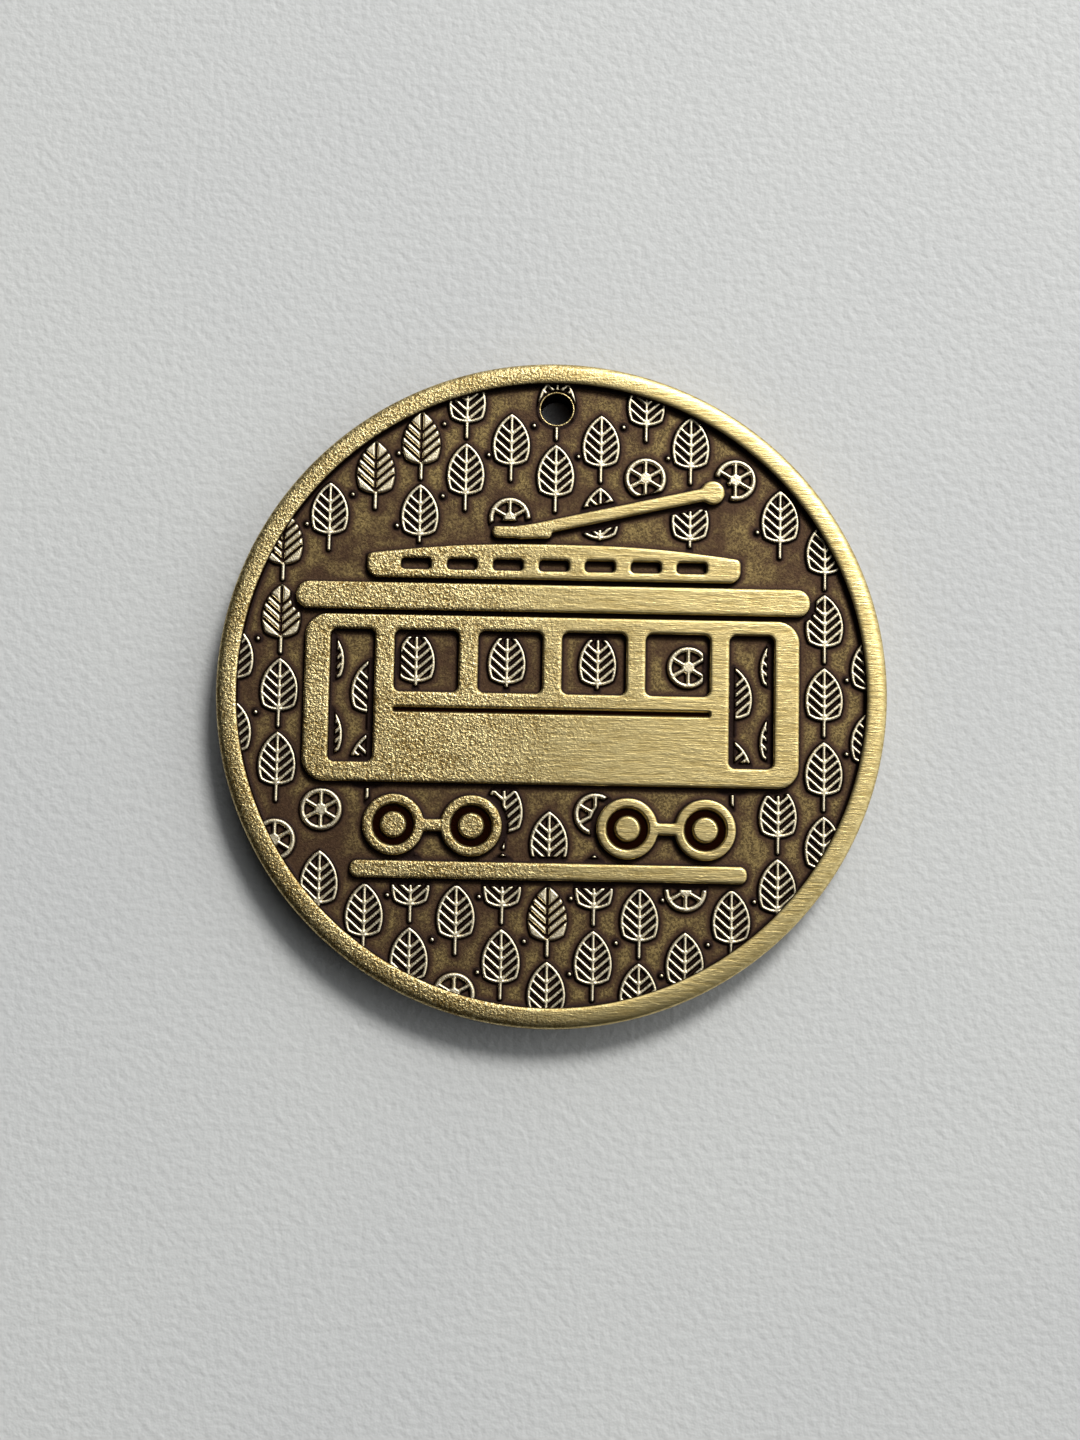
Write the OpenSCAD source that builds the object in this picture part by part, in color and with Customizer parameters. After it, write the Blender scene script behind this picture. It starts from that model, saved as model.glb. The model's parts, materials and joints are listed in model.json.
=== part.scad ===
// Hanging token: a struck brass disc with a raised rim, a small hanging hole, a flat-topped
// streetcar emblem and a field of fine leaf, wheel and pellet relief.
// Origin: centre of the flat underside. +Z points out of the face, +Y towards the hanging hole.

/* [Disc] */
// Outside diameter of the token
token_d = 45; // [44:0.5:47]
// Thickness from the underside to the crown of the rim
token_h = 3.2; // [3:0.1:4]
// Depth of the field below the crown of the rim
field_depth = 0.7; // [0.7:0.05:0.9]
// Rounding of the bottom outer edge
base_round = 0.4; // [0.2:0.05:0.5]

/* [Rim] */
// Radial width of the rim
rim_w = 1.4; // [1.3:0.05:1.5]
// Rounding of the rim's outer edge
rim_outer_round = 0.6; // [0.4:0.05:0.65]
// Rounding of the rim's inner edge
rim_inner_round = 0.3; // [0.1:0.05:0.35]

/* [Hanging hole] */
// Diameter of the hole
hole_d = 2.2; // [1.8:0.1:2.3]
// Metal left between the hole and the rim
hole_to_rim = 0.55; // [0.5:0.05:1]
// Width of the plain land round the hole, where the small figures stop
hole_land = 0.2; // [0.18:0.01:0.3]

/* [Emblem] */
// Height of the emblem's flat top above the field
emblem_h = 0.6; // [0.5:0.05:0.6]
// Length of the streetcar's roof, its longest part
roof_l = 34.6; // [34:0.2:35]
// Height of the window openings
window_h = 4.2; // [4:0.1:4.4]
// Number of side windows between the doors
window_count = 4; // [3:1:5]
// Radius of the streetcar's wheels
wheel_r = 2.05; // [1.9:0.05:2.05]
// Gap between neighbouring parts of the emblem
emblem_gap = 0.35; // [0.3:0.05:0.4]

/* [Field relief] */
// Distance between neighbouring columns of small figures
column_pitch = 3.05; // [3:0.05:3.4]
// Distance between neighbouring figures in a column
row_pitch = 5; // [4.9:0.1:5.4]
// Height of the fine leaves above the field
leaf_h = 0.22; // [0.15:0.01:0.3]
// Height of the bold figures above the field
bold_h = 0.34; // [0.25:0.01:0.4]
// Width of the fine leaves' lines
fine_line = 0.22; // [0.18:0.01:0.26]
// Width of the small wheels' lines
bold_line = 0.38; // [0.3:0.01:0.42]

/* [Hidden] */
$fn = 64;

brass_high = "#c9b478";
brass_field = "#6b5a30";
brass_relief = "#a58f57";

field_z = token_h - field_depth;
rim_r = token_d / 2;
field_r = rim_r - rim_w;
hole_y = field_r - hole_to_rim - hole_d / 2;
cut = 1;

// Streetcar outline, from the rail up
rail_y = -12.7;
rail_h = 1.15;
rail_l = 26.4;
rail_end_r = 0.5;
axle_y = rail_y + rail_h + emblem_gap + wheel_r;
body_y = axle_y + wheel_r + emblem_gap + 0.45;
body_l = roof_l - 1.4;
body_top = 5;
sill_y = body_top - 1 - window_h;
body_r = 1.5;
door_l = 3;
door_x = body_l / 2 - 1.7 - door_l;
door_y = body_y + 1.3;
door_h = body_top - 1 - door_y;
post_l = 1.3;
window_l = (2 * (door_x - post_l) - (window_count - 1) * post_l) / window_count;
window_r = 0.45;
roof_y = body_top + emblem_gap;
roof_h = 1.85;
roof_end_r = 0.9;
deck_y = roof_y + roof_h + emblem_gap;
deck_l = 25.2;
deck_h = 2.5;
deck_end_r = 0.8;
deck_arch_r = 90;
vent_count = 7;
vent_l = 2;
vent_h = 0.75;
vent_end_r = 0.25;
vent_pitch = 3.1;
vent_y = deck_y + 0.6;
foot_x = -2.2;
foot_l = 4;
foot_h = 0.8;
foot_end_r = 0.35;
pole_y = deck_y + deck_h + emblem_gap;
pole_l = 13.2;
pole_w = 0.85;
pole_tilt = 13;
pole_end_r = 0.8;
pole_top = pole_y + foot_h / 2 + pole_l * sin(pole_tilt) + pole_end_r;
pole_end_x = foot_x + pole_l * cos(pole_tilt) + pole_end_r;
belt_y = sill_y - 1.35;
belt_w = 0.3;
belt_l = 2 * (door_x - post_l);
axle_x = [5.2, 10.4];
frame_h = 0.8;
groove_depth = 0.3;
groove_inner_r = wheel_r * 0.42;
groove_outer_r = wheel_r * 0.68;

// Clear field kept round the emblem, where it cuts off the small figures
clear_field = 0.42;

// Layout of the small figures
columns = [-7 : 7];
rows = [-5 : 5];
stagger = 0.42;
layout_y = -0.3;
// How far past the field's edge a figure's middle may lie, and how far under the emblem
rim_reach = 0.8;
cover_reach = 0.3;

// A leaf is a pointed lens with a rounded base, a midrib that runs on as its stem, and veins
leaf_l = 4.5;
leaf_w = 2.55;
leaf_base_r = 1.85;
leaf_base_y = 0.5;
stem_l = 2.35;
vein_y = [-1.15, -0.5, 0.15, 0.8];
vein_angle = 42;
vein_l = 1.6;
vein_slit = 0.17;

small_wheel_r = 1.4;
small_hub_r = 0.42;
pellet_r = 0.2;
pellet_h = 0.2;
pellet_offset = [column_pitch / 2, row_pitch * 0.29];

// What stands at one place of the layout
FINE_LEAF = 0;
SMALL_WHEEL = 1;
BOLD_LEAF = 2;
function mixed_up(i, j) = (i * 37 + j * 53 + i * j * 17 + i * i * 29 + j * j * 11 + 9004) % 23;
function kind(i, j) =
    let (n = mixed_up(i, j))
    n == 4 || n == 9 || n == 15 ? SMALL_WHEEL : n == 13 || n == 20 ? BOLD_LEAF : FINE_LEAF;
function place(i, j) =
    [i * column_pitch, (j + stagger * ((i + 8) % 2)) * row_pitch + layout_y];
function in_box(p, low, high) = p[0] > low[0] && p[0] < high[0] && p[1] > low[1] && p[1] < high[1];
function in_bar(p, length, low_y, high_y) =
    let (inset = cover_reach * [1, 1])
    in_box(p, [-length / 2, low_y] + inset, [length / 2, high_y] - inset);
function in_truck(p) =
    in_box([abs(p[0]), p[1]], [axle_x[0], axle_y] - wheel_r * [1, 1], [axle_x[1], axle_y] + wheel_r * [1, 1]);
function window_x(i) = (i - (window_count - 1) / 2) * (window_l + post_l);
function in_window_column(x) =
    max([for (i = [0 : window_count - 1]) abs(x - window_x(i)) < window_l / 2 ? 1 : 0]) == 1;
// Is a point well under the emblem, so that a figure there would show only as scraps?
function is_covered(p) =
    in_bar(p, 2 * door_x, body_y, sill_y)
    || in_bar(p, body_l, body_y, door_y)
    || (in_bar(p, 2 * door_x, body_y, body_top) && !in_window_column(p[0]))
    || in_bar(p, roof_l, body_top - 1, roof_y + roof_h)
    || in_bar(p, deck_l, deck_y - 1, deck_y + deck_h)
    || in_bar(p, rail_l, rail_y, rail_y + rail_h)
    || in_truck(p);
function has_figure(p) = norm(p) < field_r + rim_reach && !is_covered(p);
// Is a point on the bare field round the streetcar, with room for a pellet?
function is_open_field(p) =
    let (room = pellet_r + clear_field)
    norm(p) < field_r - room
    && norm(p - [0, hole_y]) > hole_d / 2 + room
    && (abs(p[0]) > roof_l / 2 + room || p[1] < rail_y - room || p[1] > pole_top + room
        || (p[1] > pole_y + room
            && (p[0] < foot_x - foot_l / 2 - room || p[0] > pole_end_x + room)));

// Flat outlines

// A bar whose lower edge is centred on the origin
module rounded_bar(length, height, r) {
    translate([-length / 2, r]) square([length, height - 2 * r]);
    translate([-length / 2 + r, 0]) square([length - 2 * r, height]);
    for (x = [-1, 1], y = [r, height - r])
        translate([x * (length / 2 - r), y]) circle(r);
}

module lens(length, width) {
    arc_r = (length * length + width * width) / (4 * width);
    intersection() {
        translate([arc_r - width / 2, 0]) circle(arc_r);
        translate([width / 2 - arc_r, 0]) circle(arc_r);
    }
}

module leaf_blade(edge = 0) {
    intersection() {
        lens(leaf_l - 3.6 * edge, leaf_w - 2 * edge);
        translate([0, leaf_base_y]) circle(leaf_base_r - edge);
    }
}

module veins(line) {
    translate([-line / 2, -stem_l]) square([line, stem_l + leaf_l / 2 - line]);
    for (side = [0, 1], y = vein_y)
        translate([0, y]) mirror([side, 0]) rotate(vein_angle)
            translate([0, -line / 2]) square([vein_l, line]);
}

module fine_leaf() {
    difference() {
        leaf_blade();
        leaf_blade(fine_line);
    }
    intersection() {
        veins(fine_line * 0.85);
        union() {
            leaf_blade(fine_line / 2);
            translate([-fine_line, -stem_l]) square([2 * fine_line, stem_l]);
        }
    }
}

module bold_leaf() {
    difference() {
        leaf_blade();
        veins(vein_slit);
    }
    translate([-fine_line / 2, -stem_l]) square([fine_line, stem_l + leaf_base_y - leaf_base_r]);
}

module small_wheel() {
    difference() {
        circle(small_wheel_r);
        circle(small_wheel_r - bold_line * 0.8);
    }
    circle(small_hub_r);
    for (a = [30, 90, 150])
        rotate(a) translate([bold_line / 2 - small_wheel_r, -bold_line / 3])
            square([2 * small_wheel_r - bold_line, bold_line * 2 / 3]);
}

module field_outline() {
    difference() {
        circle(field_r);
        translate([0, hole_y]) circle(d = hole_d + 2 * hole_land);
    }
}

// The emblem's outlines, each grown on all sides by the clear field round it

module body_outline(grow = 0) {
    translate([0, body_y - grow])
        rounded_bar(body_l + 2 * grow, body_top - body_y + 2 * grow, body_r);
}

module openings(grow = 0) {
    for (i = [0 : window_count - 1])
        translate([window_x(i), sill_y + grow])
            rounded_bar(window_l - 2 * grow, window_h - 2 * grow, window_r);
    for (x = [-1, 1])
        translate([x * (door_x + door_l / 2), door_y + grow])
            rounded_bar(door_l - 2 * grow, door_h - 2 * grow, window_r);
}

module roof_outline(grow = 0) {
    translate([0, roof_y - grow]) rounded_bar(roof_l + 2 * grow, roof_h + 2 * grow, roof_end_r);
}

module deck_outline(grow = 0) {
    intersection() {
        translate([0, deck_y - grow])
            rounded_bar(deck_l + 2 * grow, deck_h + 2 * grow, deck_end_r);
        translate([0, deck_y + deck_h + grow - deck_arch_r]) circle(deck_arch_r, $fn = 400);
    }
}

module pole_outline(grow = 0) {
    translate([foot_x, pole_y - grow])
        rounded_bar(foot_l + 2 * grow, foot_h + 2 * grow, foot_end_r);
    translate([foot_x, pole_y + foot_h / 2]) rotate(pole_tilt) {
        translate([0, -pole_w / 2 - grow]) square([pole_l + grow, pole_w + 2 * grow]);
        translate([pole_l, 0]) circle(pole_end_r + grow);
    }
}

module truck_outline(side, grow = 0) {
    for (x = axle_x) translate([side * x, axle_y]) circle(wheel_r + grow);
    translate([side * (axle_x[0] + axle_x[1]) / 2, axle_y])
        square([axle_x[1] - axle_x[0], frame_h + 2 * grow], center = true);
}

module rail_outline(grow = 0) {
    translate([0, rail_y - grow])
        rounded_bar(rail_l + 2 * grow, rail_h + 2 * grow, rail_end_r);
}

module emblem_outline(grow) {
    difference() {
        body_outline(grow);
        openings(grow);
    }
    roof_outline(grow);
    deck_outline(grow);
    pole_outline(grow);
    truck_outline(-1, grow);
    truck_outline(1, grow);
    rail_outline(grow);
}

// Raises the small figures of one kind from the field, cut off at the emblem, rim and hole
module relief(wanted, height) {
    translate([0, 0, field_z]) linear_extrude(height) difference() {
        intersection() {
            union() for (i = columns, j = rows)
                if (kind(i, j) == wanted && has_figure(place(i, j)))
                    translate(place(i, j)) children();
            field_outline();
        }
        emblem_outline(clear_field);
    }
}

module raised(height = emblem_h) {
    translate([0, 0, field_z]) linear_extrude(height) children();
}

// Sub-parts

// Square to be taken off a corner at the origin, leaving an edge of the given rounding
module corner_off(r) {
    difference() {
        translate([-cut, -cut]) square(r + cut);
        translate([r, r]) circle(r);
    }
}

module blank() {
    color(brass_field) difference() {
        rotate_extrude($fn = 180) difference() {
            square([rim_r, field_z]);
            translate([rim_r, 0]) mirror([1, 0]) corner_off(base_round);
        }
        translate([0, hole_y, -cut]) cylinder(h = token_h + 2 * cut, d = hole_d);
    }
}

module raised_rim() {
    color(brass_high) translate([0, 0, field_z]) rotate_extrude($fn = 180) difference() {
        translate([field_r, 0]) square([rim_w, field_depth]);
        translate([rim_r, field_depth]) mirror([1, 0]) mirror([0, 1]) corner_off(rim_outer_round);
        translate([field_r, field_depth]) mirror([0, 1]) corner_off(rim_inner_round);
    }
}

module car_body() {
    color(brass_high) difference() {
        raised() difference() {
            body_outline();
            openings();
        }
        translate([-belt_l / 2, belt_y, field_z + emblem_h - groove_depth])
            cube([belt_l, belt_w, field_depth]);
    }
}

module car_roof() {
    color(brass_high) raised() roof_outline();
}

module roof_deck() {
    color(brass_high) raised() difference() {
        deck_outline();
        for (i = [0 : vent_count - 1])
            translate([(i - (vent_count - 1) / 2) * vent_pitch, vent_y])
                rounded_bar(vent_l, vent_h, vent_end_r);
    }
}

module trolley_pole() {
    color(brass_high) raised() pole_outline();
}

module truck(side) {
    color(brass_high) difference() {
        raised() truck_outline(side);
        for (x = axle_x)
            translate([side * x, axle_y, field_z + emblem_h - groove_depth])
                linear_extrude(field_depth) difference() {
                    circle(groove_outer_r);
                    circle(groove_inner_r);
                }
    }
}

module front_truck() {
    truck(1);
}

module rear_truck() {
    truck(-1);
}

module rail() {
    color(brass_high) raised() rail_outline();
}

module fine_leaves() {
    color(brass_relief) relief(FINE_LEAF, leaf_h) fine_leaf();
}

module bold_leaves() {
    color(brass_relief) relief(BOLD_LEAF, bold_h) bold_leaf();
}

module small_wheels() {
    color(brass_relief) relief(SMALL_WHEEL, bold_h) small_wheel();
}

module pellets() {
    color(brass_relief)
        for (i = columns, j = rows)
            let (p = place(i, j) + pellet_offset)
                if (is_open_field(p))
                    translate([p[0], p[1], field_z]) cylinder(h = pellet_h, r = pellet_r);
}

blank();
raised_rim();
car_body();
car_roof();
roof_deck();
trolley_pole();
front_truck();
rear_truck();
rail();
fine_leaves();
bold_leaves();
small_wheels();
pellets();
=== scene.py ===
"""A struck brass hanging token, with a raised rim and a flat-topped streetcar emblem.

The field round the emblem is patinated and filled with fine relief. Plans and heights are worked out in
millimetres, in the CAD model's frame, and become metres where a mesh is made. The relief repeats the
figures, and the rule that lays them out, from part.scad.
"""
import json
import math

import bmesh
import bpy
import numpy as np
from mathutils import Matrix, Vector


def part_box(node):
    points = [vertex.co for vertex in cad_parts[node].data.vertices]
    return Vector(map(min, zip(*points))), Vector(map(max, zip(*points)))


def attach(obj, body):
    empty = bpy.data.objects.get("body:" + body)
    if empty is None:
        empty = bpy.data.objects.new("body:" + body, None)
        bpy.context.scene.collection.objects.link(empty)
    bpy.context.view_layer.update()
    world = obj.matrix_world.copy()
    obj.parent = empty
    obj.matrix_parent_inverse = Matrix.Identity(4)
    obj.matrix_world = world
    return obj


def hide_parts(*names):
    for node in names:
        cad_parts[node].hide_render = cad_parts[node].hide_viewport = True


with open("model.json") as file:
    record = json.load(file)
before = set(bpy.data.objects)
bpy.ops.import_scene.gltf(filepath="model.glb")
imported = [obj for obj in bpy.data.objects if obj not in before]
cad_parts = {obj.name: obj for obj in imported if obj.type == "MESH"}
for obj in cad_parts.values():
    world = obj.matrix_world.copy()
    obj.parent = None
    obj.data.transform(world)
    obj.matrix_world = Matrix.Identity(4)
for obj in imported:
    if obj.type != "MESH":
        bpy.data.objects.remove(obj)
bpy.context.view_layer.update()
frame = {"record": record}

MM = 0.001
BODY = "root"


def corners(node):
    """A CAD node's lowest and highest corner, in millimetres."""
    low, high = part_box(node)
    return np.array(low) / MM, np.array(high) / MM


# ---------------------------------------------------------------- sizes, in millimetres

blank_high = corners("blank")[1]
TOKEN_R = blank_high[0]
TOKEN_H = corners("raised_rim")[1][2]
FIELD_Z = blank_high[2]
EMBLEM_Z = corners("car_body")[1][2]
UNDERLAP_Z = FIELD_Z - 0.17    # how far down the pieces reach into the disc under the field

RIM_W = 1.4
FIELD_R = TOKEN_R - RIM_W
RIM_CROWN_R = FIELD_R + 0.5    # where the rim is highest
RIM_OUTER_DROP = 0.5           # height over which the crown turns into the outer edge
RIM_INNER_DROP = 0.2           # height over which it turns into the inner wall
RIM_FULLNESS = 3.2             # flatness of the crown between the two
BASE_ROUND = 0.4

hole = next(m for m in frame["record"]["mounts"] if m["name"] == "hanging_hole")
HOLE_Y = hole["pos_m"][1] / MM
HOLE_R = hole["dims"]["r_mm"]
LIP_R = HOLE_R + 0.1           # outside of the thin burr round the hole
LIP_H = 0.04
HOLE_LAND = 0.2                # plain land round the hole, where the small figures stop
FIELD_HOLE_R = HOLE_R + 0.03   # where the field's surface ends, under the burr

EDGE_ROUND = 0.13              # rounding of the emblem's top edges
DRAFT = 0.05                   # how far the emblem's walls lean out at the foot

BODY_END_R = 1.5
OPENING_R = 0.45
POST_L = 1.3
DOOR_L = 3.0
DOOR_INSET = 1.7
DOOR_SILL = 1.3
HEAD_H = 1.0                   # metal above the windows and doors
WINDOW_H = 4.2
WINDOWS = 4
BELT_DROP = 1.35
BELT_W, BELT_END_R = 0.3, 0.1
GROOVE_DEPTH = 0.3
ROOF_END_R = 0.9
DECK_END_R = 0.8
DECK_ARCH_R = 90.0
VENTS = 7
VENT_L, VENT_H, VENT_END_R = 2.0, 0.75, 0.25
VENT_PITCH = 3.1
VENT_SILL = 0.6
FOOT_L, FOOT_H, FOOT_END_R = 4.0, 0.8, 0.35
POLE_W = 0.85
POLE_TILT = math.radians(13)
POLE_END_R = 0.8
TRUCK_FRAME_H, TRUCK_FRAME_R = 0.8, 0.1
GROOVE_INNER, GROOVE_OUTER = 0.42, 0.68   # of the wheel's radius
RAIL_END_R = 0.5
CLEAR_FIELD = 0.42

COLUMN_PITCH, ROW_PITCH = 3.05, 5.0
STAGGER = 0.42
LAYOUT_Y = -0.3
RIM_REACH = 0.8
COVER_REACH = 0.3
LEAF_H, BOLD_H, PELLET_H = 0.22, 0.34, 0.2
FINE_LINE, BOLD_LINE = 0.22, 0.38
LEAF_L, LEAF_W = 4.5, 2.55
LEAF_BASE_R, LEAF_BASE_Y = 1.85, 0.5
STEM_L = 2.35
VEIN_Y = (-1.15, -0.5, 0.15, 0.8)
VEIN_ANGLE = math.radians(42)
VEIN_L = 1.6
SMALL_WHEEL_R, SMALL_HUB_R = 1.4, 0.42
PELLET_R = 0.2
PELLET_OFFSET = COLUMN_PITCH / 2, ROW_PITCH * 0.29


# ---------------------------------------------------------------- distances in plan
# Each takes arrays x and y and gives the distance to an outline, negative inside it.

def circle(x, y, cx, cy, r):
    return np.hypot(x - cx, y - cy) - r


def bar(x, y, low, high, r):
    """A rectangle from corner low to corner high with rounded corners."""
    qx = np.abs(x - (low[0] + high[0]) / 2) - (high[0] - low[0]) / 2 + r
    qy = np.abs(y - (low[1] + high[1]) / 2) - (high[1] - low[1]) / 2 + r
    return np.hypot(np.maximum(qx, 0), np.maximum(qy, 0)) + np.minimum(np.maximum(qx, qy), 0) - r


def segment(x, y, x0, y0, x1, y1):
    """Distance to a straight line between two points."""
    dx, dy = x1 - x0, y1 - y0
    t = np.clip(((x - x0) * dx + (y - y0) * dy) / (dx * dx + dy * dy), 0, 1)
    return np.hypot(x - x0 - t * dx, y - y0 - t * dy)


def joined(a, b, fillet=0.25):
    """Two outlines as one, with a fillet where they meet."""
    blend = np.clip(0.5 + 0.5 * (b - a) / fillet, 0, 1)
    return b + (a - b) * blend - fillet * blend * (1 - blend)


def ease(t):
    """From 0 to 1 along an S-curve as t goes from 0 to 1."""
    t = np.clip(t, 0, 1)
    return t * t * (3 - 2 * t)


def waves(x, y, size, seed):
    """Smooth unevenness between about -1 and 1, with features of the given size."""
    draw = np.random.default_rng(seed)
    total = 0
    for _ in range(7):
        heading = draw.uniform(0, 2 * math.pi)
        pitch = size * draw.uniform(0.7, 1.6)
        along = x * math.cos(heading) + y * math.sin(heading)
        total = total + np.sin(2 * math.pi * along / pitch + draw.uniform(0, 2 * math.pi))
    return total / 3.5


# ---------------------------------------------------------------- the streetcar's outlines

body_low, body_high = corners("car_body")
roof_low, roof_high = corners("car_roof")
deck_low, deck_high = corners("roof_deck")
pole_low, pole_high = corners("trolley_pole")
truck_low, truck_high = corners("front_truck")
rail_low, rail_high = corners("rail")

DOOR_X = body_high[0] - DOOR_INSET - DOOR_L
HEAD_Y = body_high[1] - HEAD_H
SILL_Y = HEAD_Y - WINDOW_H
DOOR_Y = body_low[1] + DOOR_SILL
WINDOW_L = (2 * (DOOR_X - POST_L) - (WINDOWS - 1) * POST_L) / WINDOWS
WINDOW_X = [(i - (WINDOWS - 1) / 2) * (WINDOW_L + POST_L) for i in range(WINDOWS)]
BELT_Y = SILL_Y - BELT_DROP
WHEEL_R = (truck_high[1] - truck_low[1]) / 2
AXLE_Y = (truck_high[1] + truck_low[1]) / 2
AXLES = (truck_low[0] + WHEEL_R, truck_high[0] - WHEEL_R)
FOOT_X = pole_low[0] + FOOT_L / 2
POLE_L = (pole_high[0] - POLE_END_R - FOOT_X) / math.cos(POLE_TILT)


def car_body(x, y):
    inside = bar(x, y, body_low, body_high, BODY_END_R)
    for middle in WINDOW_X:
        left, right = middle - WINDOW_L / 2, middle + WINDOW_L / 2
        inside = np.maximum(inside, -bar(x, y, (left, SILL_Y), (right, HEAD_Y), OPENING_R))
    door = bar(np.abs(x), y, (DOOR_X, DOOR_Y), (DOOR_X + DOOR_L, HEAD_Y), OPENING_R)
    return np.maximum(inside, -door)


def car_roof(x, y):
    return bar(x, y, roof_low, roof_high, ROOF_END_R)


def deck_face(x, y):
    arch = circle(x, y, 0, deck_high[1] - DECK_ARCH_R, DECK_ARCH_R)
    return -joined(-arch, -bar(x, y, deck_low, deck_high, DECK_END_R))


def roof_deck(x, y):
    inside = deck_face(x, y)
    sill = deck_low[1] + VENT_SILL
    for i in range(VENTS):
        left = (i - (VENTS - 1) / 2) * VENT_PITCH - VENT_L / 2
        vent = bar(x, y, (left, sill), (left + VENT_L, sill + VENT_H), VENT_END_R)
        inside = np.maximum(inside, -vent)
    return inside


def trolley_pole(x, y):
    foot_top = pole_low[1] + FOOT_H
    foot = bar(x, y, (pole_low[0], pole_low[1]), (pole_low[0] + FOOT_L, foot_top), FOOT_END_R)
    middle = pole_low[1] + FOOT_H / 2
    end = FOOT_X + POLE_L * math.cos(POLE_TILT), middle + POLE_L * math.sin(POLE_TILT)
    pole = segment(x, y, FOOT_X, middle, *end) - POLE_W / 2
    return joined(joined(foot, pole), circle(x, y, *end, POLE_END_R))


def truck(side):
    def outline(x, y):
        across = side * x
        low, high = (AXLES[0], AXLE_Y - TRUCK_FRAME_H / 2), (AXLES[1], AXLE_Y + TRUCK_FRAME_H / 2)
        shape = bar(across, y, low, high, TRUCK_FRAME_R)
        for axle in AXLES:
            shape = joined(shape, circle(across, y, axle, AXLE_Y, WHEEL_R))
        return shape
    return outline


def rail(x, y):
    return bar(x, y, rail_low, rail_high, RAIL_END_R)


EMBLEM = {
    "car_body": car_body,
    "car_roof": car_roof,
    "roof_deck": roof_deck,
    "trolley_pole": trolley_pole,
    "front_truck": truck(1),
    "rear_truck": truck(-1),
    "rail": rail,
}


def emblem(x, y):
    return np.minimum.reduce([outline(x, y) for outline in EMBLEM.values()])


# ---------------------------------------------------------------- the field's figures

FINE_LEAF, SMALL_WHEEL, BOLD_LEAF = 0, 1, 2


def mixed_up(i, j):
    return (i * 37 + j * 53 + i * j * 17 + i * i * 29 + j * j * 11 + 9004) % 23


def kind(i, j):
    return {4: SMALL_WHEEL, 9: SMALL_WHEEL, 15: SMALL_WHEEL, 13: BOLD_LEAF, 20: BOLD_LEAF}.get(
        mixed_up(i, j), FINE_LEAF)


def place(i, j):
    return i * COLUMN_PITCH, (j + STAGGER * (i % 2)) * ROW_PITCH + LAYOUT_Y


def is_covered(px, py):
    """Is a figure's middle well under the emblem?"""
    def within(low_x, low_y, high_x, high_y, inset=COVER_REACH):
        return low_x + inset < px < high_x - inset and low_y + inset < py < high_y - inset
    in_window_column = any(abs(px - middle) < WINDOW_L / 2 for middle in WINDOW_X)
    return (
        within(-DOOR_X, body_low[1], DOOR_X, SILL_Y)
        or within(body_low[0], body_low[1], body_high[0], DOOR_Y)
        or (within(-DOOR_X, body_low[1], DOOR_X, body_high[1]) and not in_window_column)
        or within(roof_low[0], HEAD_Y, roof_high[0], roof_high[1])
        or within(deck_low[0], deck_low[1] - 1, deck_high[0], deck_high[1])
        or within(rail_low[0], rail_low[1], rail_high[0], rail_high[1])
        or (AXLES[0] - WHEEL_R < abs(px) < AXLES[1] + WHEEL_R and abs(py - AXLE_Y) < WHEEL_R)
    )


def is_open_field(px, py):
    """Is there room for a pellet, on the bare field round the streetcar?"""
    room = PELLET_R + CLEAR_FIELD
    return (
        math.hypot(px, py) < FIELD_R - room
        and math.hypot(px, py - HOLE_Y) > HOLE_R + room
        and (abs(px) > roof_high[0] + room or py < rail_low[1] - room or py > pole_high[1] + room
             or (py > pole_low[1] + room
                 and (px < pole_low[0] - room or px > pole_high[0] + room)))
    )


def leaf_blade(x, y):
    arc_r = (LEAF_L ** 2 + LEAF_W ** 2) / (4 * LEAF_W)
    offset = arc_r - LEAF_W / 2
    lens = circle(np.abs(x), y, -offset, 0, arc_r)
    return np.maximum(lens, circle(x, y, 0, LEAF_BASE_Y, LEAF_BASE_R))


def veins(x, y, blade):
    """Distance to a leaf's side veins, which end at the blade's edge."""
    side = np.abs(x)
    nearest = np.full(x.shape, 9.0)
    for start in VEIN_Y:
        tip = VEIN_L * math.cos(VEIN_ANGLE), start + VEIN_L * math.sin(VEIN_ANGLE)
        nearest = np.minimum(nearest, segment(side, y, 0, start, *tip))
    return np.maximum(nearest, blade)


def fine_leaf(x, y):
    """Height and distance to the line work of a leaf drawn in fine ridges."""
    blade = leaf_blade(x, y)
    rib = segment(x, y, 0, -STEM_L, 0, LEAF_L / 2 - FINE_LINE)
    line = np.minimum.reduce([np.abs(blade + FINE_LINE / 2), rib, veins(x, y, blade + FINE_LINE / 2)])
    return LEAF_H * (1 - ease((line - 0.05) / 0.16)), line - FINE_LINE / 2


def bold_leaf(x, y):
    """Height and distance to the outline of a solid leaf with its veins cut in."""
    blade = leaf_blade(x, y)
    stem = segment(x, y, 0, -STEM_L, 0, LEAF_BASE_Y - LEAF_BASE_R) - FINE_LINE / 2
    rib = segment(x, y, 0, -STEM_L, 0, LEAF_L / 2 - FINE_LINE)
    slit = np.minimum(rib, veins(x, y, blade))
    cut = 1 - ease((slit - 0.03) / 0.12)
    flat = BOLD_H * (1 - ease((blade + 0.06) / 0.17)) * (1 - 0.8 * cut)
    line = LEAF_H * (1 - ease((stem + 0.05) / 0.16))
    return np.maximum(flat, line), np.minimum(blade, stem)


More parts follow.
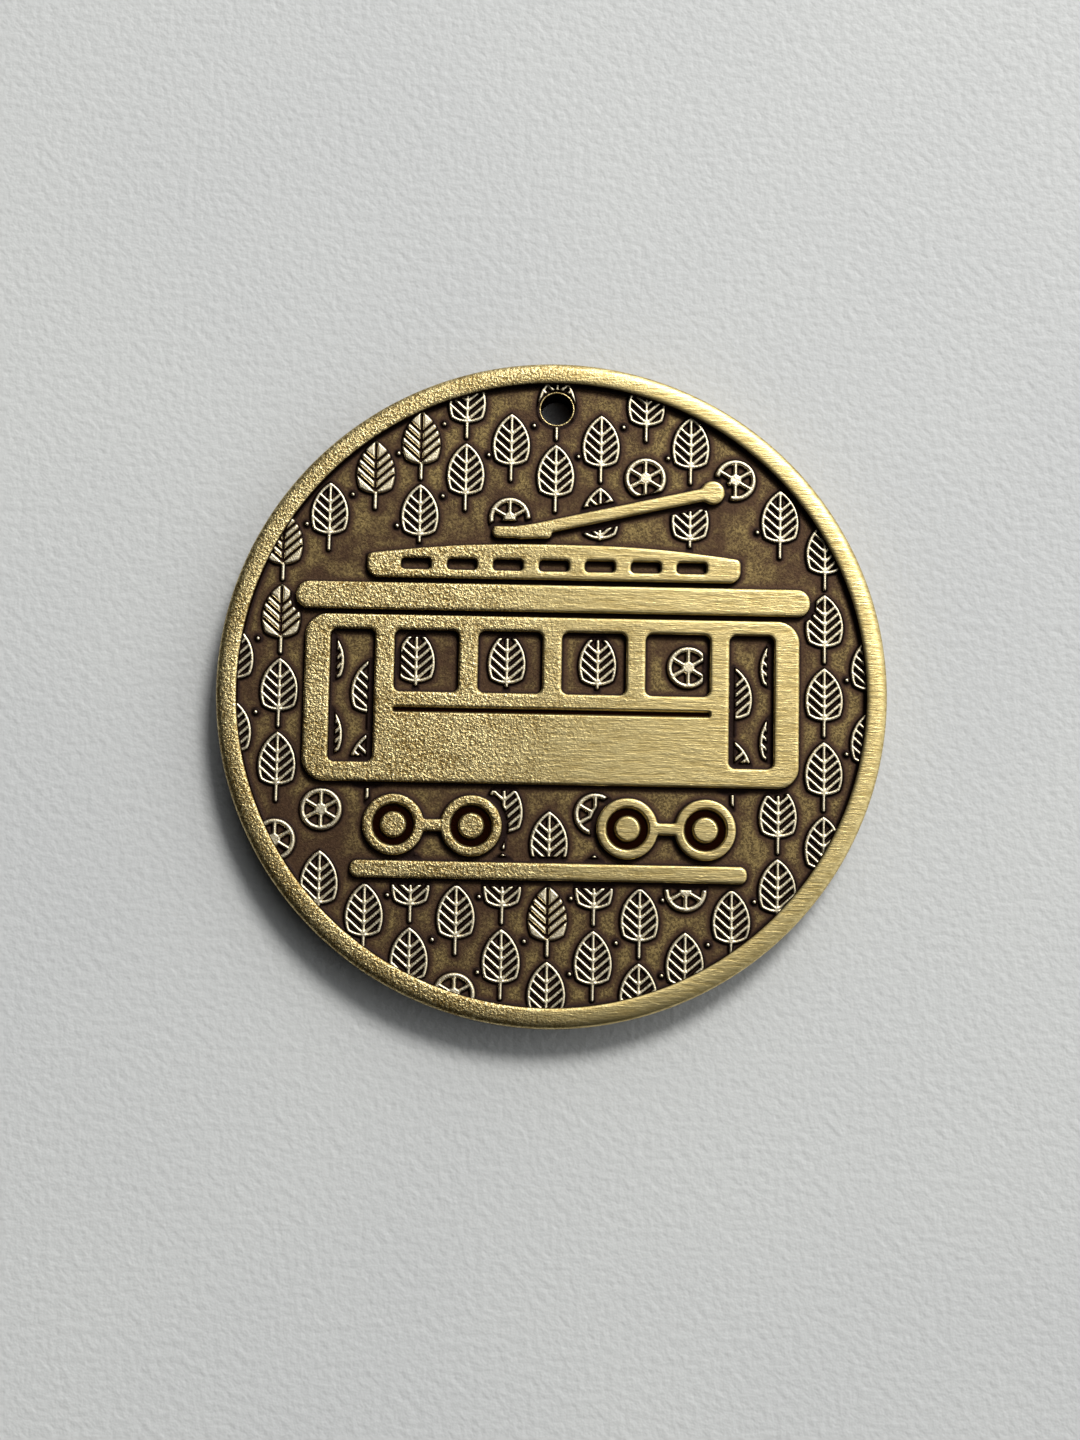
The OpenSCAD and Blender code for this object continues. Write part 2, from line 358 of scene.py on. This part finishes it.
def small_wheel(x, y):
    """Height and distance to the outline of a six-spoked wheel."""
    r = np.hypot(x, y)
    ring_w = BOLD_LINE * 0.8
    shape = np.minimum(np.abs(r - SMALL_WHEEL_R + ring_w / 2) - ring_w / 2, r - SMALL_HUB_R)
    for degrees in (30, 90, 150):
        dx, dy = math.cos(math.radians(degrees)), math.sin(math.radians(degrees))
        reach = SMALL_WHEEL_R - ring_w / 2
        spoke = segment(x, y, -reach * dx, -reach * dy, reach * dx, reach * dy)
        shape = np.minimum(shape, spoke - BOLD_LINE / 3)
    return BOLD_H * (1 - ease((shape + 0.07) / 0.17)), shape


FIGURES = {FINE_LEAF: fine_leaf, BOLD_LEAF: bold_leaf, SMALL_WHEEL: small_wheel}
COLUMNS, ROWS = range(-7, 8), range(-5, 6)
FIGURE_HALF_W, FIGURE_HALF_H = 1.85, 2.9


def relief(x, y):
    """Height of the figures over the field, and the distance from each point to the nearest of them."""
    height = np.zeros(x.shape)
    gap = np.full(x.shape, 1.0)
    for i in COLUMNS:
        for j in ROWS:
            px, py = place(i, j)
            if math.hypot(px, py) < FIELD_R + RIM_REACH and not is_covered(px, py):
                near = (np.abs(x - px) < FIGURE_HALF_W) & (np.abs(y - py) < FIGURE_HALF_H)
                if near.any():
                    up, away = FIGURES[kind(i, j)](x[near] - px, y[near] - py)
                    height[near] = np.maximum(height[near], up)
                    gap[near] = np.minimum(gap[near], away)
            bead = px + PELLET_OFFSET[0], py + PELLET_OFFSET[1]
            if is_open_field(*bead):
                away = circle(x, y, *bead, PELLET_R)
                height = np.maximum(height, PELLET_H * (1 - ease((away + 0.14) / 0.2)))
                gap = np.minimum(gap, away)
    return height, gap


# ---------------------------------------------------------------- meshes

def gradient(edge, x, y, step=0.004):
    gx = (edge(x + step, y) - edge(x - step, y)) / (2 * step)
    gy = (edge(x, y + step) - edge(x, y - step)) / (2 * step)
    size = np.maximum(np.hypot(gx, gy), 1e-6)
    return gx / size, gy / size, size


def on_edge(edge, x, y):
    """Moves points the shortest way on to the line where edge is zero."""
    for _ in range(5):
        gx, gy, size = gradient(edge, x, y)
        off = edge(x, y) / size
        x, y = x - off * gx, y - off * gy
    return x, y


def mesh_object(name, points, faces):
    """An object from points in millimetres and faces of four corners each."""
    mesh = bpy.data.meshes.new(name)
    mesh.vertices.add(len(points))
    mesh.vertices.foreach_set("co", (points * MM).astype(np.float32).ravel())
    mesh.loops.add(faces.size)
    mesh.loops.foreach_set("vertex_index", faces.astype(np.int32).ravel())
    mesh.polygons.add(len(faces))
    mesh.polygons.foreach_set("loop_start", np.arange(0, faces.size, 4, dtype=np.int32))
    mesh.update(calc_edges=True)
    obj = bpy.data.objects.new(name, mesh)
    bpy.context.scene.collection.objects.link(obj)
    return obj


def finish_mesh(obj, sharp=75):
    """Closes what is open, turns the faces outwards and shades smoothly across all but sharp edges."""
    mesh = obj.data
    bm = bmesh.new()
    bm.from_mesh(mesh)
    open_edges = [e for e in bm.edges if e.is_boundary]
    if open_edges:
        bmesh.ops.triangle_fill(bm, edges=open_edges, use_beauty=True, normal=(0, 0, -1))
    bmesh.ops.recalc_face_normals(bm, faces=bm.faces)
    bm.to_mesh(mesh)
    bm.free()
    mesh.shade_smooth()
    mesh.set_sharp_from_angle(angle=math.radians(sharp))


def plate(name, low, high, cell, edge, height, wall):
    """A solid over the region where edge(x, y) is negative.

    Its face is a square grid at height(x, y), whose border is moved on to the region's outline. From
    there the wall goes down through (distance outwards, height) steps, and the last one is filled in.
    Returns the object and the plan of the face's vertices, which come first in the mesh."""
    x, y = np.meshgrid(np.arange(low[0], high[0] + cell, cell), np.arange(low[1], high[1] + cell, cell))
    number = np.arange(x.size).reshape(x.shape)
    inside = edge(x, y) < -0.35 * cell
    whole = inside[:-1, :-1] & inside[:-1, 1:] & inside[1:, 1:] & inside[1:, :-1]
    quads = np.stack([number[:-1, :-1], number[:-1, 1:], number[1:, 1:], number[1:, :-1]], -1)[whole]
    used, quads = np.unique(quads, return_inverse=True)
    quads = quads.reshape(-1, 4)
    x, y = x.ravel()[used], y.ravel()[used]

    start, stop = quads.ravel(), np.roll(quads, -1, axis=1).ravel()
    border = ~np.isin(start * len(x) + stop, stop * len(x) + start)
    start, stop = start[border], stop[border]
    rim = np.unique(start)
    x[rim], y[rim] = on_edge(edge, x[rim], y[rim])
    gx, gy, _ = gradient(edge, x[rim], y[rim])

    points = [np.stack([x, y, height(x, y)], -1)]
    faces = [quads]
    upper_start, upper_stop = start, stop
    for k, (out, z) in enumerate(wall):
        ring = np.stack([x[rim] + out * gx, y[rim] + out * gy, np.full(len(rim), z)], -1)
        points.append(ring)
        first = len(x) + k * len(rim)
        lower_start = first + np.searchsorted(rim, start)
        lower_stop = first + np.searchsorted(rim, stop)
        faces.append(np.stack([upper_stop, upper_start, lower_start, lower_stop], -1))
        upper_start, upper_stop = lower_start, lower_stop
    return mesh_object(name, np.concatenate(points), np.concatenate(faces)), x, y


def arc(cx, cy, rx, ry, start, stop, steps=8, fullness=2.0):
    """Points along an arc of an ellipse, squarer at its corners with more fullness than 2."""
    def full(value):
        return math.copysign(abs(value) ** (2 / fullness), value)
    angles = [math.radians(start + (stop - start) * k / steps) for k in range(steps + 1)]
    return [(cx + rx * full(math.cos(a)), cy + ry * full(math.sin(a))) for a in angles]


def lathe(name, centre, section, steps, uneven=0.0):
    """A ring from a closed section of (radius, height) points, turned round a centre."""
    turn = np.arange(steps) * 2 * math.pi / steps
    section = np.array(section)
    radius = section[:, 0][None, :] + np.zeros((steps, 1))
    z = section[:, 1][None, :] + np.zeros((steps, 1))
    if uneven:
        worn = ease((z - FIELD_Z) / (TOKEN_H - FIELD_Z))
        z = z - uneven * worn * (1 + waves(turn * TOKEN_R, turn * 0, 5.0, 3))[:, None]
    points = np.stack([centre[0] + radius * np.cos(turn)[:, None],
                       centre[1] + radius * np.sin(turn)[:, None], z], -1)
    number = np.arange(steps * len(section)).reshape(steps, len(section))
    turned, along = np.roll(number, -1, 0), np.roll(number, -1, 1)
    both = np.roll(turned, -1, 1)
    faces = np.stack([number, turned, both, along], -1)
    return mesh_object(name, points.reshape(-1, 3), faces.reshape(-1, 4))


# ---------------------------------------------------------------- materials

def add(tree, kind_of_node, inputs=None, **settings):
    """A new node. Each input is a socket to link from, or a plain value."""
    node = tree.nodes.new("ShaderNode" + kind_of_node)
    for key, value in settings.items():
        setattr(node, key, value)
    for key, value in (inputs or {}).items():
        if isinstance(value, bpy.types.NodeSocket):
            tree.links.new(value, node.inputs[key])
        else:
            node.inputs[key].default_value = value
    return node


def new_material(name):
    material = bpy.data.materials.new(name)
    material.use_nodes = True
    tree = material.node_tree
    return material, tree, tree.nodes["Principled BSDF"]


def place_in_object(tree, scale=(1, 1, 1)):
    """Object coordinates in metres, stretched by scale."""
    coordinates = add(tree, "TexCoord").outputs["Object"]
    return add(tree, "Mapping", {"Vector": coordinates, "Scale": scale}).outputs["Vector"]


def noise(tree, per_mm, detail=3.0, roughness=0.55, stretch=(1, 1, 1)):
    """Noise with about per_mm features in a millimetre."""
    vector = place_in_object(tree, stretch)
    settings = {"Vector": vector, "Scale": per_mm / MM, "Detail": detail, "Roughness": roughness}
    return add(tree, "TexNoise", settings).outputs["Fac"]


def calculate(tree, operation, a, b=0.0, clamp=False):
    return add(tree, "Math", {0: a, 1: b}, operation=operation, use_clamp=clamp).outputs[0]


def ranged(tree, value, low, high, to_low=0.0, to_high=1.0):
    inputs = {"Value": value, "From Min": low, "From Max": high, "To Min": to_low, "To Max": to_high}
    return add(tree, "MapRange", inputs, interpolation_type="SMOOTHSTEP").outputs["Result"]


def mixed(tree, share, a, b, blend_type="MIX"):
    """Colour a, turning into b as share goes to 1."""
    node = add(tree, "Mix", data_type="RGBA", blend_type=blend_type)
    for key, value in ((0, share), (6, a), (7, b)):
        if isinstance(value, bpy.types.NodeSocket):
            tree.links.new(value, node.inputs[key])
        else:
            node.inputs[key].default_value = value
    return node.outputs[2]


def bumped(tree, height, distance_mm, strength=1.0):
    inputs = {"Height": height, "Distance": distance_mm * MM, "Strength": strength}
    return add(tree, "Bump", inputs).outputs["Normal"]


BRASS = (0.74, 0.58, 0.235, 1)
BRASS_PALE = (0.80, 0.66, 0.34, 1)
BRASS_DEEP = (0.15, 0.085, 0.017, 1)
CREST_PALE_HIGHLIGHT = (0.90, 0.82, 0.63, 1)
CREST_BRASS = (0.74, 0.62, 0.38, 1)
PATINA_BLACK = (0.012, 0.003, 0.001, 1)
PATINA_BROWN = (0.085, 0.045, 0.022, 1)
PATINA_OLIVE = (0.30, 0.215, 0.080, 1)
OLIVE_DEEP = (0.14, 0.092, 0.036, 1)


def satin_brass(name, patina_and_shade):
    """Brass blasted to a fine grain on the left and brushed across on the right.

    patina_and_shade(tree) gives a share from 0 to 1 of dark colour: patina left in the corners, and on the
    rim also painted shade down its outer wall."""
    material, tree, shader = new_material(name)
    coordinates = add(tree, "SeparateXYZ", {"Vector": place_in_object(tree)})
    drift = calculate(tree, "MULTIPLY", noise(tree, 0.12), 0.02)
    across = calculate(tree, "ADD", coordinates.outputs["X"], drift)
    brushed = ranged(tree, across, -0.001, 0.024)

    grain = noise(tree, 5.6, detail=2, roughness=0.7)
    strokes = noise(tree, 5.0, detail=3, roughness=0.75, stretch=(0.13, 1, 1))
    texture = add(tree, "Mix", {0: brushed, 2: grain, 3: strokes}).outputs[0]
    cloud = noise(tree, 0.35, detail=3)

    tone = calculate(tree, "ADD", calculate(tree, "MULTIPLY", texture, 0.8),
                     calculate(tree, "MULTIPLY", cloud, 0.2))
    # Painted shade: the brass is made a little darker towards the lower left, away from the light.
    painted_shade_lower_left = calculate(tree, "ADD", coordinates.outputs["X"], coordinates.outputs["Y"])
    painted_shade_lower_left = ranged(tree, calculate(tree, "ADD", painted_shade_lower_left, drift), 0.006, -0.026, 0.0, 0.03)
    least = calculate(tree, "ADD", ranged(tree, brushed, 0.0, 1.0, 0.35, 0.34), painted_shade_lower_left)
    most = calculate(tree, "ADD", ranged(tree, brushed, 0.0, 1.0, 0.65, 0.62), painted_shade_lower_left)
    colour = mixed(tree, ranged(tree, tone, least, most), BRASS_DEEP, BRASS_PALE)
    colour = mixed(tree, ranged(tree, brushed, 0.0, 1.0, 0.1, 0.5), colour, BRASS)
    dark = patina_and_shade(tree)
    colour = mixed(tree, dark, colour, PATINA_BLACK)
    tree.links.new(colour, shader.inputs["Base Color"])

    shader.inputs["Metallic"].default_value = 1.0
    rough = ranged(tree, tone, 0.3, 0.7, 0.44, 0.32)
    rough = add(tree, "Mix", {0: dark, 2: rough, 3: 0.7}).outputs[0]
    tree.links.new(rough, shader.inputs["Roughness"])
    depth = calculate(tree, "MULTIPLY", texture, ranged(tree, brushed, 0.0, 1.0, 1.0, 0.45))
    tree.links.new(bumped(tree, depth, 0.065), shader.inputs["Normal"])
    return material


def no_patina(tree):
    return ranged(tree, noise(tree, 0.8), 0.66, 0.9, 0.0, 0.25)


def emblem_patina(tree):
    """Dark at the foot of the walls and in the grooves, gone at the top edge."""
    height = add(tree, "SeparateXYZ", {"Vector": place_in_object(tree)}).outputs["Z"]
    return ranged(tree, height, (EMBLEM_Z - 0.05) * MM, (EMBLEM_Z - 0.3) * MM)


def bore_patina(tree):
    """Dark all down the hole, worn off the burr at its mouth."""
    height = add(tree, "SeparateXYZ", {"Vector": place_in_object(tree)}).outputs["Z"]
    return ranged(tree, height, (FIELD_Z + LIP_H * 0.7) * MM, (FIELD_Z - 0.06) * MM)


def rim_patina_and_shade(tree):
    """Patina on the wall inside the rim, and dark brown painted shade down the outer wall to its foot."""
    apart = add(tree, "SeparateXYZ", {"Vector": place_in_object(tree)})
    flat = add(tree, "CombineXYZ", {"X": apart.outputs["X"], "Y": apart.outputs["Y"]})
    radius = add(tree, "VectorMath", {0: flat.outputs[0]}, operation="LENGTH").outputs["Value"]
    inner = ranged(tree, radius, (FIELD_R + 0.10) * MM, (FIELD_R + 0.01) * MM)
    # Painted shade down the outer wall, darkest towards its foot and broken up by noise.
    foot = ranged(tree, apart.outputs["Z"], (TOKEN_H - 0.35) * MM, (TOKEN_H - 1.5) * MM, 0.0, 0.93)
    uneven_foot_shade = ranged(tree, noise(tree, 3.0, detail=3, roughness=0.7), 0.35, 0.65, 0.6, 1.0)
    return calculate(tree, "MAXIMUM", inner, calculate(tree, "MULTIPLY", foot, uneven_foot_shade))


def field_brass():
    """Black in the corners, brown on the ground, olive where it is open, and bare brass on the crests,
    painted pale there as a highlight.
    """
    material, tree, shader = new_material("patina_brass")
    crest = add(tree, "Attribute", attribute_name="crest").outputs["Fac"]
    gap = add(tree, "Attribute", attribute_name="gap").outputs["Fac"]
    fine = noise(tree, 7, detail=2, roughness=0.75)
    cloud = noise(tree, 0.55, detail=4, roughness=0.6)
    broad = noise(tree, 0.16, detail=2)

    patchy = calculate(tree, "ADD", calculate(tree, "MULTIPLY", cloud, 0.6),
                       calculate(tree, "MULTIPLY", broad, 0.6))
    open_ground = calculate(tree, "MULTIPLY", ranged(tree, gap, 0.22, 0.62),
                            ranged(tree, patchy, 0.46, 0.70))
    ground = mixed(tree, ranged(tree, gap, 0.08, 0.26), PATINA_BLACK, PATINA_BROWN)
    olive = mixed(tree, ranged(tree, fine, 0.35, 0.65), OLIVE_DEEP, PATINA_OLIVE)
    ground = mixed(tree, open_ground, ground, olive)
    ground = mixed(tree, ranged(tree, fine, 0.35, 0.65, 0.45, 0.0), ground, PATINA_BLACK)
    # Bare brass worn clean on the crests, made paler than the brass as a painted highlight.
    bare_and_highlight = mixed(tree, ranged(tree, fine, 0.3, 0.7), CREST_BRASS, CREST_PALE_HIGHLIGHT)
    shown = ranged(tree, crest, 0.58, 0.94)
    tree.links.new(mixed(tree, shown, ground, bare_and_highlight), shader.inputs["Base Color"])

    tree.links.new(ranged(tree, crest, 0.1, 0.6, 0.75, 1.0), shader.inputs["Metallic"])
    rough = calculate(tree, "ADD", ranged(tree, crest, 0.2, 0.8, 0.50, 0.34),
                      calculate(tree, "MULTIPLY", fine, 0.1))
    tree.links.new(rough, shader.inputs["Roughness"])
    tree.links.new(bumped(tree, fine, 0.022), shader.inputs["Normal"])
    return material


def paper():
    """A pale table top with a fine orange-peel surface."""
    material, tree, shader = new_material("pale_table")
    peel = noise(tree, 1.7, detail=2, roughness=0.5)
    cloud = ranged(tree, noise(tree, 0.02), 0.3, 0.7)
    colour = mixed(tree, cloud, (0.60, 0.61, 0.61, 1), (0.64, 0.65, 0.64, 1))
    tree.links.new(colour, shader.inputs["Base Color"])
    tree.links.new(ranged(tree, peel, 0.3, 0.7, 0.55, 0.7), shader.inputs["Roughness"])
    tree.links.new(bumped(tree, peel, 0.08), shader.inputs["Normal"])
    return material


# ---------------------------------------------------------------- pieces

def add_piece(obj, material, slot, *nodes):
    obj.data.materials.append(material)
    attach(obj, BODY)
    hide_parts(*nodes)
    return obj


def make_rim(material):
    """The rim's crown, both walls and the token's outer edge, as one turned ring."""
    inner_wall = FIELD_R - 0.03
    outer = arc(RIM_CROWN_R, TOKEN_H - RIM_OUTER_DROP, TOKEN_R - RIM_CROWN_R, RIM_OUTER_DROP,
                0, 90, 18, RIM_FULLNESS)
    inner = arc(RIM_CROWN_R, TOKEN_H - RIM_INNER_DROP, RIM_CROWN_R - FIELD_R, RIM_INNER_DROP,
                90, 180, 14, RIM_FULLNESS)
    section = (
        arc(TOKEN_R - BASE_ROUND, BASE_ROUND, BASE_ROUND, BASE_ROUND, -90, 0, 6)
        + [(TOKEN_R, 1.0), (TOKEN_R, 1.7)]
        + outer
        + inner[1:]
        + [(FIELD_R - 0.01, FIELD_Z + 0.2), (inner_wall, FIELD_Z), (inner_wall, UNDERLAP_Z)]
        + [(TOKEN_R - BASE_ROUND - 0.1, UNDERLAP_Z - 0.3), (TOKEN_R - BASE_ROUND - 0.1, 0.1)]
    )
    obj = lathe("rim_ring", (0, 0), section, 540, uneven=0.006)
    finish_mesh(obj)
    return add_piece(obj, material, "satin_brass", "raised_rim", "blank")


def make_core(material):
    """The disc under the field, whose underside the token lies on."""
    flat_r = TOKEN_R - BASE_ROUND
    cell = 0.4

    def edge(x, y):
        return np.maximum(circle(x, y, 0, 0, flat_r), -circle(x, y, 0, HOLE_Y, LIP_R - 0.01))

    obj, _, _ = plate("core_disc", (-flat_r, -flat_r), (flat_r, flat_r), cell, edge,
                      lambda x, y: 0 * x, [(0, BASE_ROUND), (0, UNDERLAP_Z + 0.02)])
    finish_mesh(obj)
    return add_piece(obj, material, "patina_brass", "blank")


def make_lip(material):
    """The bore of the hanging hole, with the thin lip struck up round its mouth."""
    bead = LIP_R - HOLE_R
    section = (
        [(LIP_R, 0), (HOLE_R + 0.06, 0), (HOLE_R + 0.015, 0.02), (HOLE_R, 0.07)]
        + [(HOLE_R, z) for z in (0.6, 1.2, 1.8, FIELD_Z - 0.1)]
        + [(HOLE_R + bead / 2 - bead / 2 * math.cos(a), FIELD_Z + LIP_H * math.sin(a) ** 0.8)
           for a in np.linspace(0.05, math.pi - 0.05, 9)]
        + [(LIP_R, FIELD_Z - 0.1)]
    )
    obj = lathe("hole_lip", (0, HOLE_Y), section, 96)
    finish_mesh(obj)
    return add_piece(obj, material, "patina_brass", "blank")


def make_field(material):
    """The field and all its small figures, struck from one surface."""
    underlap = 0.07

    def edge(x, y):
        outer = circle(x, y, 0, 0, FIELD_R + underlap)
        inner = -circle(x, y, 0, HOLE_Y, FIELD_HOLE_R)
        return np.maximum.reduce([outer, inner, -emblem(x, y) - underlap])

    found = {}

    def height(x, y):
        up, gap = relief(x, y)
        from_emblem = emblem(x, y)
        from_hole = circle(x, y, 0, HOLE_Y, HOLE_R + HOLE_LAND)
        from_rim = -circle(x, y, 0, 0, FIELD_R)
        up = up * ease((from_emblem - CLEAR_FIELD + 0.06) / 0.12) * ease((from_hole + 0.03) / 0.05)
        walls = np.minimum.reduce([from_emblem, from_hole, from_rim])
        fillet = 0.07 * np.exp(-np.maximum(np.minimum(from_emblem, from_rim), 0) / 0.07)
        found["crest"] = up / LEAF_H
        found["gap"] = np.clip(np.minimum(np.where(up > 0.002, gap, np.maximum(gap, 0.05)), walls), 0, 1)
        return FIELD_Z + np.maximum(up, fillet) + 0.004 * waves(x, y, 1.3, 7)

    cell = 0.055
    low = (-FIELD_R - 0.2, -FIELD_R - 0.2)
    obj, x, y = plate("struck_field", low, (-low[0], -low[1]), cell, edge, height, [(0, UNDERLAP_Z)])
    for key, values in found.items():
        attribute = obj.data.attributes.new(key, "FLOAT", "POINT")
        every = np.zeros(len(obj.data.vertices), np.float32)
        every[:len(values)] = values
        attribute.data.foreach_set("value", every)
    finish_mesh(obj)
    return add_piece(obj, material, "relief_brass", "fine_leaves", "bold_leaves", "small_wheels", "pellets",
                     "blank")


def emblem_top(name):
    """Height of an emblem part's face, with its grooves cut in."""
    def groove(distance):
        return GROOVE_DEPTH * (1 - ease((distance + 0.04) / 0.12))

    def height(x, y):
        z = EMBLEM_Z - 0.003 - 0.003 * waves(x, y, 6.0, 11)
        if name == "car_body":
            half = DOOR_X - POST_L
            z = z - groove(bar(x, y, (-half, BELT_Y), (half, BELT_Y + BELT_W), BELT_END_R))
        if name.endswith("truck"):
            for axle in AXLES:
                r = np.hypot(np.abs(x) - axle, y - AXLE_Y)
                middle = (GROOVE_OUTER + GROOVE_INNER) / 2 * WHEEL_R
                z = z - groove(np.abs(r - middle) - (GROOVE_OUTER - GROOVE_INNER) / 2 * WHEEL_R)
        return z
    return height


def make_emblem_part(name, outline, material):
    low, high = corners(name)
    top = EMBLEM_Z - 0.006
    rounding = [(EDGE_ROUND * math.sin(a), top - EDGE_ROUND * (1 - math.cos(a)))
                for a in (math.radians(d) for d in (22, 45, 67, 84))]
    wall = rounding + [(EDGE_ROUND + DRAFT, FIELD_Z + 0.02), (EDGE_ROUND + DRAFT, UNDERLAP_Z)]
    cell = 0.075
    obj, _, _ = plate(name + "_relief", low - cell, high + cell, cell,
                      lambda x, y: outline(x, y) + EDGE_ROUND, emblem_top(name), wall)
    finish_mesh(obj)
    return add_piece(obj, material, "satin_brass", name)


emblem_metal = satin_brass("satin_brass_emblem", emblem_patina)
make_rim(satin_brass("satin_brass_rim", rim_patina_and_shade))
make_core(satin_brass("satin_brass_back", no_patina))
field_metal = field_brass()
make_lip(satin_brass("satin_brass_hole", bore_patina))
make_field(field_metal)
for part, part_outline in EMBLEM.items():
    make_emblem_part(part, part_outline, emblem_metal)


# ---------------------------------------------------------------- table, light and camera

def make_floor():
    half = 1500
    points = np.array([(-half, -half, 0), (half, -half, 0), (half, half, 0), (-half, half, 0)], float)
    floor = mesh_object("table_top", points, np.array([[0, 1, 2, 3]]))
    floor.data.materials.append(paper())


def aimed(obj, at, spin=0.0):
    """Turns obj's -Z axis to a point, with its Y axis near the world's +Y, then spins it in the picture."""
    back = (obj.location - Vector(at)).normalized()
    right = Vector((0, 1, 0)).cross(back).normalized()
    turn = Matrix((right, back.cross(right), back)).transposed()
    obj.rotation_euler = (turn @ Matrix.Rotation(math.radians(spin), 3, "Z")).to_euler()


def make_light(name, direction, distance, size, watts, colour):
    data = bpy.data.lights.new(name, "AREA")
    data.shape = "DISK"
    data.size = size
    data.energy = watts
    data.color = colour
    lamp = bpy.data.objects.new(name, data)
    lamp.location = Vector(direction).normalized() * distance
    aimed(lamp, (0, 0, 0))
    bpy.context.scene.collection.objects.link(lamp)


def make_sky():
    """A dark room with pale light coming in on one side, and dim straight above."""
    world = bpy.data.worlds.new("room")
    bpy.context.scene.world = world
    world.use_nodes = True
    tree = world.node_tree
    apart = add(tree, "SeparateXYZ", {"Vector": add(tree, "TexCoord").outputs["Generated"]})
    level = add(tree, "CombineXYZ", {"X": apart.outputs["X"], "Y": apart.outputs["Y"]})
    heading = add(tree, "VectorMath", {0: level.outputs[0]}, operation="NORMALIZE").outputs["Vector"]
    window = Vector((0.82, 0.57, 0))
    towards = add(tree, "VectorMath", {0: heading, 1: window}, operation="DOT_PRODUCT").outputs["Value"]
    strength = calculate(tree, "MULTIPLY", ranged(tree, towards, -0.15, 0.65, 0.0, 1.1),
                         ranged(tree, apart.outputs["Z"], 0.78, 0.98, 1.0, 0.2))
    background = tree.nodes["Background"]
    background.inputs["Color"].default_value = (0.97, 0.99, 1.0, 1)
    tree.links.new(strength, background.inputs["Strength"])


def make_camera():
    distance = 168.4 * MM
    tilt = math.radians(7.2)
    aim = Vector((-0.74, -2.0, TOKEN_H)) * MM
    data = bpy.data.cameras.new("camera")
    data.sensor_width = 36
    data.lens = 63
    data.clip_start = 0.005
    camera = bpy.data.objects.new("camera", data)
    camera.location = aim + distance * Vector((0, -math.sin(tilt), math.cos(tilt)))
    aimed(camera, aim, spin=1.1)
    bpy.context.scene.collection.objects.link(camera)
    bpy.context.scene.camera = camera


make_floor()
make_sky()
make_light("window", (0.31, 0.56, 0.766), 0.9, 0.27, 6.0, (1.0, 0.985, 0.96))
make_camera()
bpy.context.scene.view_settings.view_transform = "Standard"
